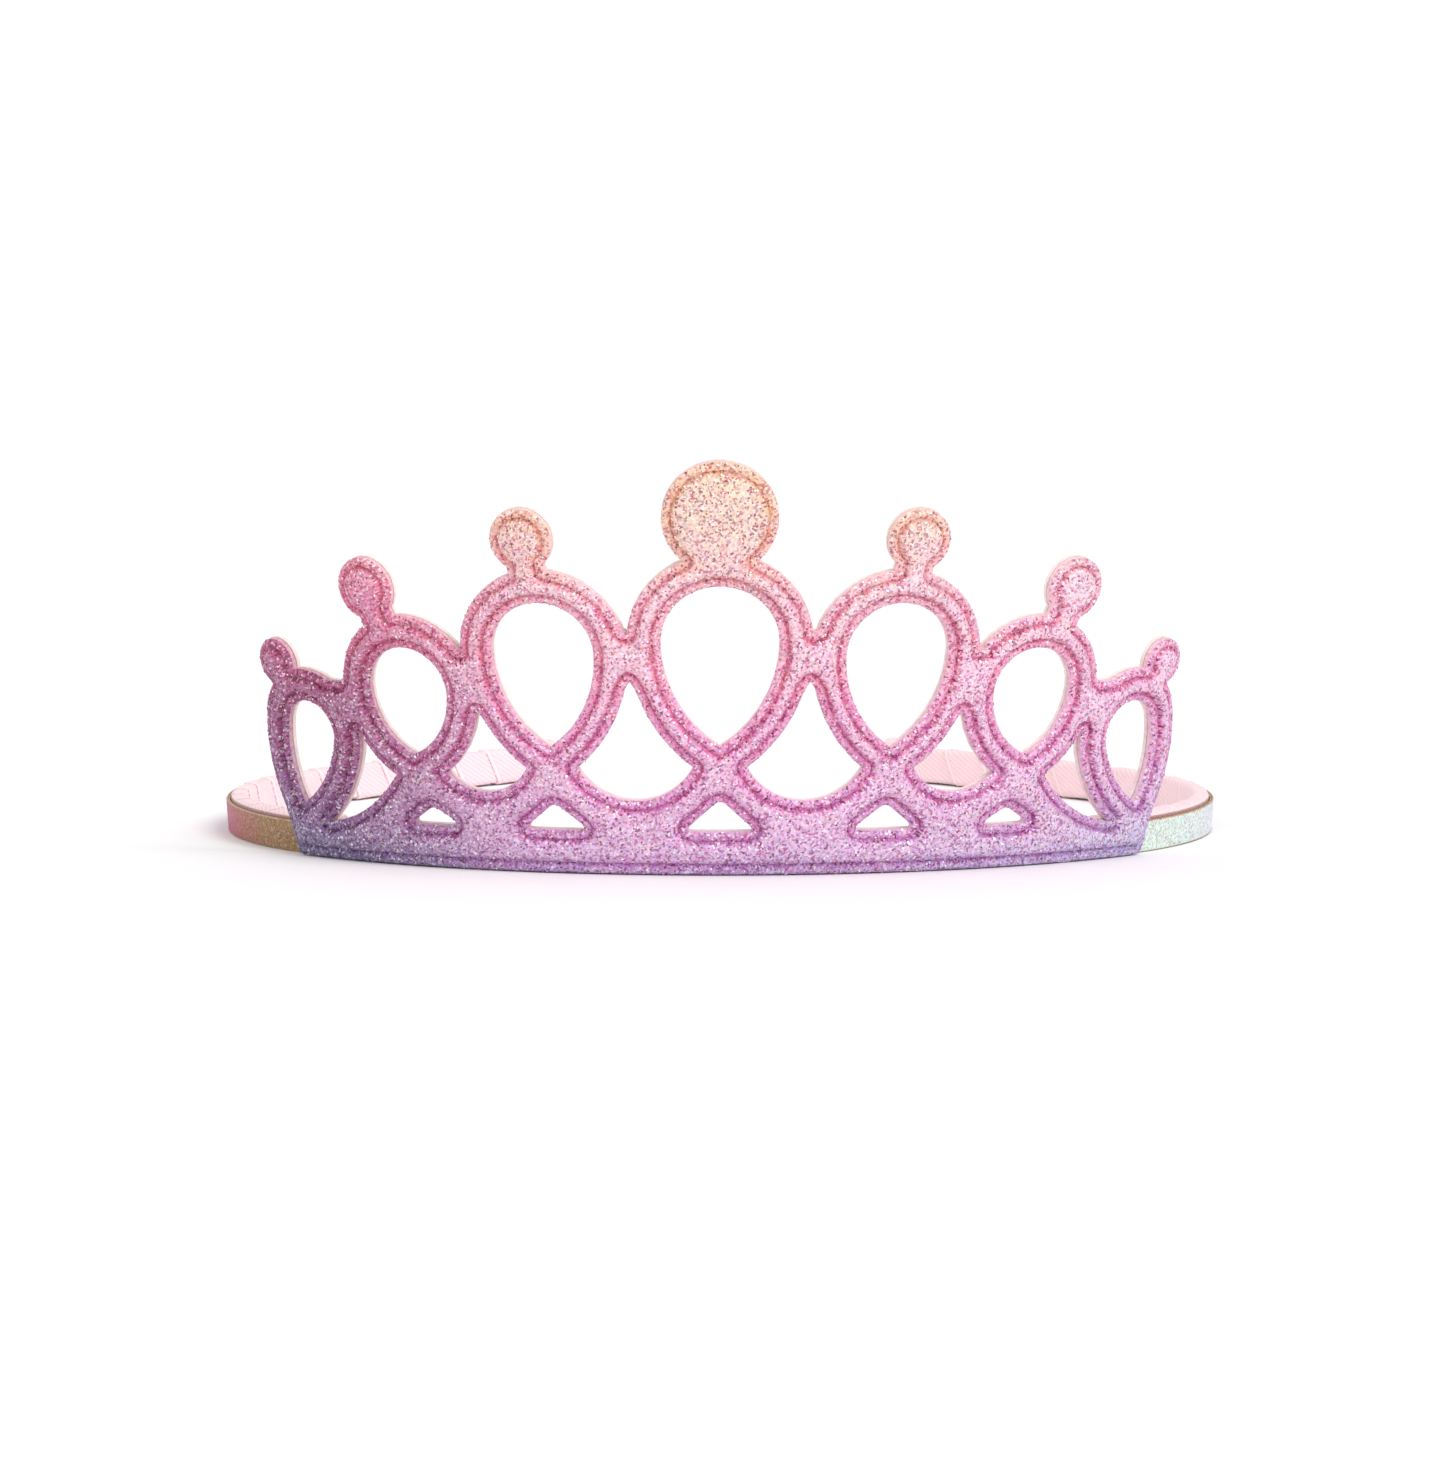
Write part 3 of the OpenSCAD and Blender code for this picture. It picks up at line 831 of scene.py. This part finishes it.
# %% [markdown]
# ## Padding under the cloth
#
# The face was pressed in a hot mould: a line runs about a millimetre inside every cut, the
# margin outside the line is a soft flat roll, and inside it the foam swells up. So the
# height of the cloth depends on the distance to the nearest cut, apart from small lumps. The
# mesh has rows of points along every cut, closest together at the pressed line, and an even
# fill between. Round a sharp notch in a cut the rows fan out, so that they stay whole.

# %% Measure the distance to the nearest cut
FINE_STEP = 0.05 * MM
# The foot's cut runs at this height up the cone, give or take FOOT_NEAR
FOOT_LINE = 0.63 * MM
FOOT_NEAR = 0.35 * MM
FOOT_SHARE = 0.8


def on_foot(p):
    """Whether a point of a cut belongs to the crown's foot."""
    return abs(math.hypot(p[0], p[1] + APEX) - APEX - FOOT_LINE) < FOOT_NEAR


def search_tree(spots):
    """A tree that finds the spot nearest to any place."""
    tree = kdtree.KDTree(len(spots))
    for k, p in enumerate(spots):
        tree.insert((p[0], p[1], 0), k)
    tree.balance()
    return tree


fine = []
for cut in cuts:
    for a, b in zip(cut, np.roll(cut, -1, 0)):
        count = max(1, math.ceil(np.linalg.norm(b - a) / FINE_STEP))
        fine += [a + (b - a) * j / count for j in range(count)]
side_tree = search_tree([p for p in fine if not on_foot(p)])
foot_tree = search_tree([p for p in fine if on_foot(p)])
print("distances are measured from", len(fine), "places on the cuts")


def reach(p):
    """Distance to the nearest cut, with the foot's wider margin counted as a narrow one."""
    side = side_tree.find((p[0], p[1], 0))[2]
    foot = foot_tree.find((p[0], p[1], 0))[2]
    return min(side, foot * FOOT_SHARE)


# %% Lay rows of points along the cuts
# The rows' distances from the cut in millimetres, and how far off its row a point may lie
ROWS = [0.1, 0.26, 0.46, 0.68, 0.88, 1.0, 1.08, 1.16, 1.26, 1.4, 1.6, 1.82]
ROW_NEAR = 0.02 * MM
FAN_STEP = math.radians(8)
CLOSEST = 0.07 * MM
points = [tuple(p) for cut in cuts for p in cut]
taken = {}


def crowded(p):
    """True where a point already lies closer than the smallest spacing."""
    i, j = int(p[0] // CLOSEST), int(p[1] // CLOSEST)
    for a in (i - 1, i, i + 1):
        for b in (j - 1, j, j + 1):
            for q in taken.get((a, b), ()):
                if math.hypot(p[0] - q[0], p[1] - q[1]) < CLOSEST:
                    return True
    taken.setdefault((i, j), []).append(p)
    return False


# The cuts' own points are noted first, and all of them stay
for p in points:
    crowded(p)


def into_cloth(cut):
    """Each point of a cut with its ways into the cloth: a fan of them round a notch."""
    along = np.roll(cut, -1, 0) - cut
    way = np.arctan2(along[:, 1], along[:, 0]) + math.pi / 2
    for p, last, turn in zip(cut, np.roll(way, 1), way - np.roll(way, 1)):
        turn = (turn + math.pi) % (2 * math.pi) - math.pi
        steps = math.ceil(-turn / FAN_STEP)
        ways = [last + turn / 2]
        if steps > 2:
            ways = [last + turn * k / steps for k in range(steps + 1)]
        for angle in ways:
            yield p, np.array([math.cos(angle), math.sin(angle)])


for row in ROWS:
    for cut in cuts:
        for p, way in into_cloth(cut):
            q = p + way * row * MM / (FOOT_SHARE if on_foot(p) else 1)
            if abs(reach(q) - row * MM) < ROW_NEAR and not crowded(q):
                points.append(tuple(q))
print("cuts and rows have", len(points), "points")

# %% Fill the rest of the cloth
FILL = 0.4 * MM
low_x, low_y = np.array(cuts[0]).min(0)
high_x, high_y = np.array(cuts[0]).max(0)


def within(spots, loops):
    """Which spots lie in the cloth: a line from each crosses the cuts an odd number of times."""
    crossings = np.zeros(len(spots), int)
    for loop in loops:
        for a, b in zip(loop, np.roll(loop, -1, 0)):
            spans = (a[1] > spots[:, 1]) != (b[1] > spots[:, 1])
            x = a[0] + (spots[:, 1] - a[1]) * (b[0] - a[0]) / (b[1] - a[1] or 1)
            crossings += spans & (spots[:, 0] < x)
    return crossings % 2 == 1


def even_fill(step, clear):
    """Points in a honeycomb over the whole cloth, kept clear of the cuts."""
    up = step * math.sqrt(3) / 2
    grid = [
        (low_x + (i + 0.5 * (j % 2)) * step, low_y + j * up)
        for j in range(int((high_y - low_y) / up))
        for i in range(int((high_x - low_x) / step))
    ]
    in_cloth = within(np.array(grid), cuts)
    return [p for p, good in zip(grid, in_cloth) if good and reach(p) > clear]


points += even_fill(FILL, ROWS[-1] * MM + 0.5 * FILL)
print("layout has", len(points), "points")

# %% [markdown]
# ## From points to cloth
#
# A triangulation that is bound to the cuts joins the points without crossing a cut and
# leaves the windows empty. Each point then gets its height over the cone and is bent back
# onto it. Walls close the cut edges, and a plain back sheet closes the piece.

# %% Join the points to triangles
def triangles_of(places, loops):
    """Triangles between places, inside the loops and outside the windows."""
    edges, start = [], 0
    for loop in loops:
        n = len(loop)
        edges += [(start + k, start + (k + 1) % n) for k in range(n)]
        start += n
    flat = [Vector((x / MM, y / MM)) for x, y in places]
    _, _, faces, origin, _, _ = geometry.delaunay_2d_cdt(flat, edges, [], 0, 1e-6, True)
    faces = [tuple(origin[v][0] for v in f) for f in faces]
    # A triangle with a point off the cuts lies in the cloth; only the others need a test
    on_rim = [f for f in faces if max(f) < start]
    middles = np.array([np.mean([places[v] for v in f], 0) for f in on_rim])
    kept_rim = [f for f, inside in zip(on_rim, within(middles, loops)) if inside]
    return [f for f in faces if max(f) >= start] + kept_rim


rim_count = sum(len(cut) for cut in cuts)
top_faces = triangles_of(points, cuts)
print("top sheet has", len(top_faces), "triangles")

# %% Raise the padding
# In millimetres: PRESS is the pressed line's distance from a cut, and past WIDE_FROM the pad
# rises a little more
PRESS = 1.12
EDGE_WIDTH = 0.4
EDGE_DROP = 0.25
LINE_WIDTH = 0.14
LINE_DROP = 0.11
MARGIN_RISE = 0.13
PAD_RISE = 0.72
WIDE_FROM = 1.7
WIDE_RISE = 0.2
LUMP_RISE = 0.05
LUMPS_PER_METRE = 600


def swell(p, d):
    """Height of the cloth over the flat sheet, at a distance d from the nearest cut."""
    t = d / MM
    margin = MARGIN_RISE * math.sin(math.pi * (t / PRESS)) if t < PRESS else 0
    edge = -EDGE_DROP * (1 - t / EDGE_WIDTH) ** 2 if t < EDGE_WIDTH else 0
    line = -LINE_DROP * math.exp(-((t - PRESS) / LINE_WIDTH) ** 2)
    pad = PAD_RISE * math.sqrt(1 - (1 - min(1, max(0, t - PRESS))) ** 2)
    wide = min(1, max(0, (t - WIDE_FROM) / 2))
    pad += WIDE_RISE * wide * wide * (3 - 2 * wide)
    lumps = LUMP_RISE * noise.noise(Vector((p[0], p[1], 0)) * LUMPS_PER_METRE) * min(1, t)
    return (margin + edge + line + pad + lumps) * MM


inside = [(0.0 if k < rim_count else reach(p)) for k, p in enumerate(points)]
places = [roll(p[0], p[1], FACE_FRONT + swell(p, d)) for p, d in zip(points, inside)]
flats = list(points)
print("the padding reaches", round(max(inside) / MM, 2), "mm from a cut at most")

# %% Close the cut edges and the back
# The walls run from the top sheet down to the back sheet and bend once, at the waist
WAIST = 0.5 * (FACE_FRONT + FACE_BACK) - 0.05 * MM
BACK_FILL = 1.5 * MM
BACK_CLEAR = 0.5 * MM
waist = len(places)
for p in points[:rim_count]:
    places.append(roll(p[0], p[1], WAIST))
    flats.append(p)
sole = len(places)
back_points = points[:rim_count] + even_fill(BACK_FILL, BACK_CLEAR)
for p in back_points:
    places.append(roll(p[0], p[1], FACE_BACK))
    flats.append(p)
back_faces = [tuple(sole + v for v in reversed(f)) for f in triangles_of(back_points, cuts)]
walls, start = [], 0
for cut in cuts:
    n = len(cut)
    for k in range(n):
        a, b = start + k, start + (k + 1) % n
        walls.append((a, waist + a, waist + b, b))
        walls.append((waist + a, sole + a, sole + b, waist + b))
    start += n
print("walls and back have", len(walls) + len(back_faces), "faces")

# %% Make the mesh
all_faces = top_faces + walls + back_faces
used = sorted({v for f in all_faces for v in f})
number = {v: k for k, v in enumerate(used)}
cloth_mesh = bpy.data.meshes.new("padded_face")
cloth_mesh.from_pydata([places[v] for v in used], [], [[number[v] for v in f] for f in all_faces])
cloth_mesh.polygons.foreach_set("use_smooth", [True] * len(cloth_mesh.polygons))
cloth_mesh.polygons.foreach_set(
    "material_index", [0] * len(top_faces) + [1] * (len(walls) + len(back_faces))
)

# The walls meet both sheets at a sharp edge
hard = cloth_mesh.attributes.new("sharp_edge", "BOOLEAN", "EDGE")
pairs = {tuple(sorted((number[w[0]], number[w[3]]))) for w in walls[0::2]}
pairs |= {tuple(sorted((number[w[1]], number[w[2]]))) for w in walls[1::2]}
for edge in cloth_mesh.edges:
    hard.data[edge.index].value = tuple(sorted(edge.vertices)) in pairs

# The material reads each point's place on the flat pattern and its distance from a cut
flat_layer = cloth_mesh.uv_layers.new(name="flat")
corner_verts = np.empty(len(cloth_mesh.loops), int)
cloth_mesh.loops.foreach_get("vertex_index", corner_verts)
flat_now = np.array([flats[v] for v in used])
flat_layer.data.foreach_set("uv", flat_now[corner_verts].astype(np.float32).ravel())
depths = [d / MM for d in inside] + [0.0] * (len(places) - len(inside))
for name, values in (
    ("flat_x", flat_now[:, 0]),
    ("flat_y", flat_now[:, 1]),
    ("depth", np.array(depths)[used]),
):
    layer = cloth_mesh.attributes.new(name, "FLOAT", "POINT")
    layer.data.foreach_set("value", values.astype(np.float32))
cloth_mesh.validate()
face = bpy.data.objects.new("padded_face", cloth_mesh)
bpy.context.scene.collection.objects.link(face)
report(face)

# %% [markdown]
# ## The crown's colours
#
# The cloth is printed with a soft rainbow before it is cut: cream at the top, then peach,
# pink, magenta, orchid and lavender, with a bluer shade at the very foot. The print follows
# the flat pattern, so the ends of the foot, which sit lower on the pattern, are bluest. Over
# the print, painted shade darkens the left side and painted light makes the right side
# paler, and painted shade deepens the sloping margins and the pressed lines.

# %% Choose the colours of the print
# Stops by the height on the flat pattern in millimetres: the print, the painted shade of the left side,
# and the painted shade of the margins
FACE_STOPS = [
    (-7, "bcb4df"), (-1.5, "c8bbe2"), (0.5, "d1b7e0"), (3, "dcb8df"), (6, "e1b7de"), (13, "eabcdd"),
    (19.5, "f0bfdf"), (24, "f5c6de"), (28, "f7cadc"), (33, "f7cedc"), (36, "f8d5dd"), (39, "f7d0cd"),
    (42, "f6d7cc"), (47, "f6dac5"),
]
PAINTED_SHADE_STOPS = [(-5, "a29fae"), (4, "b097b2"), (19, "ba85a6"), (32, "e9a3c4"), (41, "ecc8cc")]
MARGIN_SHADE_STOPS = [
    (-5, "dcd2ee"), (3, "e8b6e2"), (12, "f2aedb"), (25, "f8b6cf"), (35, "fad0dc"), (40, "fcdad0"),
    (46, "fce4d0"),
]
LOW_STOP, HIGH_STOP = -8, 52
# Stops by the distance from a cut, as a share of DEEPEST millimetres: painted shade on the margin and the
# pad's flank, and painted shade along the pressed line
DEEPEST = 3.0
SLOPE_SHADE = [
    (0.0, "b0b0b0"), (0.12, "c0c0c0"), (0.3, "ffffff"), (0.41, "ffffff"), (0.47, "b4b4b4"),
    (0.58, "6a6a6a"), (0.72, "202020"), (0.82, "000000"),
]
LINE_SHADE = [(0.335, "000000"), (0.362, "ffffff"), (0.384, "ffffff"), (0.415, "000000")]


def by_height(tree, share, stops):
    """A ramp whose stops are heights on the flat pattern in millimetres."""
    return ramp(tree, share, [((y - LOW_STOP) / (HIGH_STOP - LOW_STOP), code) for y, code in stops])


# %% Print the cloth
def print_colour(tree):
    """The printed rainbow by the height on the flat pattern, with its pearly drift, painted shade and
    painted light.
    """
    height = attribute(tree, "flat_y")
    side = attribute(tree, "flat_x")
    spot = add(tree, "ShaderNodeCombineXYZ", {"X": side, "Y": height}).outputs[0]
    drift = calc(tree, "SUBTRACT", texture_noise(tree, 90.0, 1.0, spot)["Fac"], 0.5)
    height = calc(tree, "ADD", height, calc(tree, "MULTIPLY", drift, 5 * MM))
    share = slope(tree, height, LOW_STOP * MM, HIGH_STOP * MM, 0.0, 1.0)
    colour = by_height(tree, share, FACE_STOPS)
    clouds = texture_noise(tree, 620.0, 2.0, spot)["Color"]
    colour = mix(tree, 0.2, colour, clouds, "SOFT_LIGHT")
    # Painted shade darkens the left side, and painted light makes the right side paler
    left = slope(tree, side, -16 * MM, -52 * MM, 0.0, 1.0, "SMOOTHSTEP")
    right_painted_light = slope(tree, side, 5 * MM, 58 * MM, 0.0, 0.25)
    colour = mix(tree, left, colour, times(tree, colour, by_height(tree, share, PAINTED_SHADE_STOPS)))
    colour = mix(tree, right_painted_light, colour, paint("f2e8f8"))
    # Painted shade: deeper colour on the margin and the pad's flank, where the relief slopes, and most
    # along the pressed line
    depth = calc(tree, "DIVIDE", attribute(tree, "depth"), DEEPEST)
    slope_shaded = times(tree, colour, by_height(tree, share, MARGIN_SHADE_STOPS))
    colour = mix(tree, ramp(tree, depth, SLOPE_SHADE), colour, slope_shaded)
    groove_shaded = times(tree, colour, paint("d5888f"))
    return mix(tree, calc(tree, "MULTIPLY", ramp(tree, depth, LINE_SHADE), 0.35), colour, groove_shaded)


# %% Dress the face and its cut edge
# On the crown the flakes' painted glints and painted dark reflections are strong
face_material = glitter(
    "crown_glitter", print_colour, flake=0.23 * MM, deep=0.66, glint=0.48,
    Metallic=0.12, Roughness=0.42, Coat_Weight=0.12,
)
edge_material, tree, shader = new_material("cut_edge", Roughness=0.85)
place = add(tree, "ShaderNodeTexCoord").outputs["Object"]
crumbs = texture_noise(tree, 2400.0, 3.0, place)["Fac"]
pale_foam = ramp(tree, crumbs, [(0.32, "cfa3a8"), (0.5, "eed3cf"), (0.68, "fbe9e2")])
# The cut edge takes half its colour from the print, with the print's painted shade and painted light
tree.links.new(mix(tree, 0.5, pale_foam, print_colour(tree)), shader.inputs["Base Color"])
emboss(tree, shader, crumbs, 0.5, 0.05 * MM)
cloth_mesh.materials.append(face_material)
cloth_mesh.materials.append(edge_material)
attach(face, "root")
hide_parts("crown_face")
print("face wears", face_material.name, "and", edge_material.name)

# %% [markdown]
# ## The backing sheet
#
# The back of the crown is a plain pale sheet of felt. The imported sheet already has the
# right shape, so it stays and only gets a felt material: short fibres in two sizes of
# noise, and no shine.

# %% Felt for the back
felt_material, tree, shader = new_material("pale_felt", Roughness=0.9, Sheen_Weight=0.3)
place = add(tree, "ShaderNodeTexCoord").outputs["Object"]
fibres = texture_noise(tree, 1700.0, 4.0, place)["Fac"]
clumps = texture_noise(tree, 260.0, 3.0, place)["Fac"]
both = calc(tree, "ADD", calc(tree, "MULTIPLY", fibres, 0.6), calc(tree, "MULTIPLY", clumps, 0.4))
felt = ramp(tree, both, [(0.36, "e9d0d1"), (0.5, "f2dfdd"), (0.62, "f9ebe7")])
tree.links.new(felt, shader.inputs["Base Color"])
emboss(tree, shader, both, 0.5, 0.08 * MM)
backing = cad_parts["crown_backing"]
backing.data.materials.clear()
backing.data.materials.append(felt_material)
print("backing wears", felt_material.name)

# %% [markdown]
# ## Loose flakes
#
# A texture alone stays inside the outline, but real glitter sticks up and makes the cut
# edges sparkle. Geometry Nodes scatter small six-sided flakes over the face, each turned
# and tipped at random. Every flake takes its place on the print along, and a random tint.

# %% Pick places for the flakes
scatter, size = new_tree("scattered_flakes", [
    ("Flakes per square metre", "Float"),
    ("Flake radius", "Float"),
    ("Tip", "Float"),
    ("Seed", "Int"),
    ("Material", "Material"),
])
top_only = add(
    scatter, "FunctionNodeCompare", {2: add(scatter, "GeometryNodeInputMaterialIndex").outputs[0], 3: 0},
    data_type="INT", operation="EQUAL",
).outputs[0]
dots = add(scatter, "GeometryNodeDistributePointsOnFaces", {
    "Mesh": size["Geometry"],
    "Selection": top_only,
    "Density": size["Flakes per square metre"],
    "Seed": size["Seed"],
}, distribute_method="RANDOM")
disc = add(
    scatter, "GeometryNodeMeshCircle", {"Vertices": 6, "Radius": size["Flake radius"]}, fill_type="NGON"
)


# %% Turn, tip, size and tint the flakes
FLAKE_LIFT = 0.035 * MM


def next_seed(number):
    """The tree's seed raised by a number, so that each draw is its own."""
    return calc(scatter, "ADD", size["Seed"], number)


def draw_number(low, high, number):
    """A random number for each flake."""
    return add(
        scatter, "FunctionNodeRandomValue", {2: low, 3: high, "Seed": next_seed(number)}, data_type="FLOAT"
    ).outputs[1]


back_tip = calc(scatter, "MULTIPLY", size["Tip"], -1.0)
tip_low = add(scatter, "ShaderNodeCombineXYZ", {"X": back_tip, "Y": back_tip}).outputs[0]
tip_high = add(
    scatter, "ShaderNodeCombineXYZ", {"X": size["Tip"], "Y": size["Tip"], "Z": 2 * math.pi}
).outputs[0]
tipped = add(
    scatter, "FunctionNodeRandomValue", {0: tip_low, 1: tip_high, "Seed": next_seed(1.0)},
    data_type="FLOAT_VECTOR",
).outputs[0]
turned = add(
    scatter, "FunctionNodeRotateRotation",
    {0: dots.outputs["Rotation"], 1: add(scatter, "FunctionNodeEulerToRotation", {0: tipped}).outputs[0]},
    rotation_space="LOCAL",
).outputs[0]
flakes = add(scatter, "GeometryNodeInstanceOnPoints", {
    "Points": dots.outputs["Points"],
    "Instance": disc.outputs[0],
    "Rotation": turned,
    "Scale": draw_number(0.55, 1.15, 2.0),
}).outputs[0]
flakes = add(
    scatter, "GeometryNodeTranslateInstances",
    {"Instances": flakes, "Translation": (0, 0, FLAKE_LIFT), "Local Space": True},
).outputs[0]
flakes = keep(scatter, flakes, "tint", draw_number(0.0, 1.0, 3.0), "FLOAT", "INSTANCE")
end_tree(scatter, flakes, size["Material"])
print("scatter tree has", len(scatter.nodes), "nodes")

# %% Scatter flakes over the crown
flake_material, tree, shader = new_material(
    "loose_flake", Metallic=0.35, Roughness=0.25, Coat_Weight=0.4
)
tint = attribute(tree, "tint")
hue = calc(tree, "FRACT", calc(tree, "MULTIPLY", tint, 37.0))
# The loose flakes take the print's colour with its painted shade and painted light, and strong painted
# glints and painted dark reflections
colour = flake_colours(tree, print_colour(tree), tint, hue, 0.85, 0.8)
tree.links.new(colour, shader.inputs["Base Color"])
flake_piece = grow(face, scatter, {
    "Flakes per square metre": 4.5e6,
    "Flake radius": 0.15 * MM,
    "Tip": 0.45,
    "Seed": 11,
    "Material": flake_material,
}, "face_flakes")
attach(flake_piece, "root")
report(flake_piece)
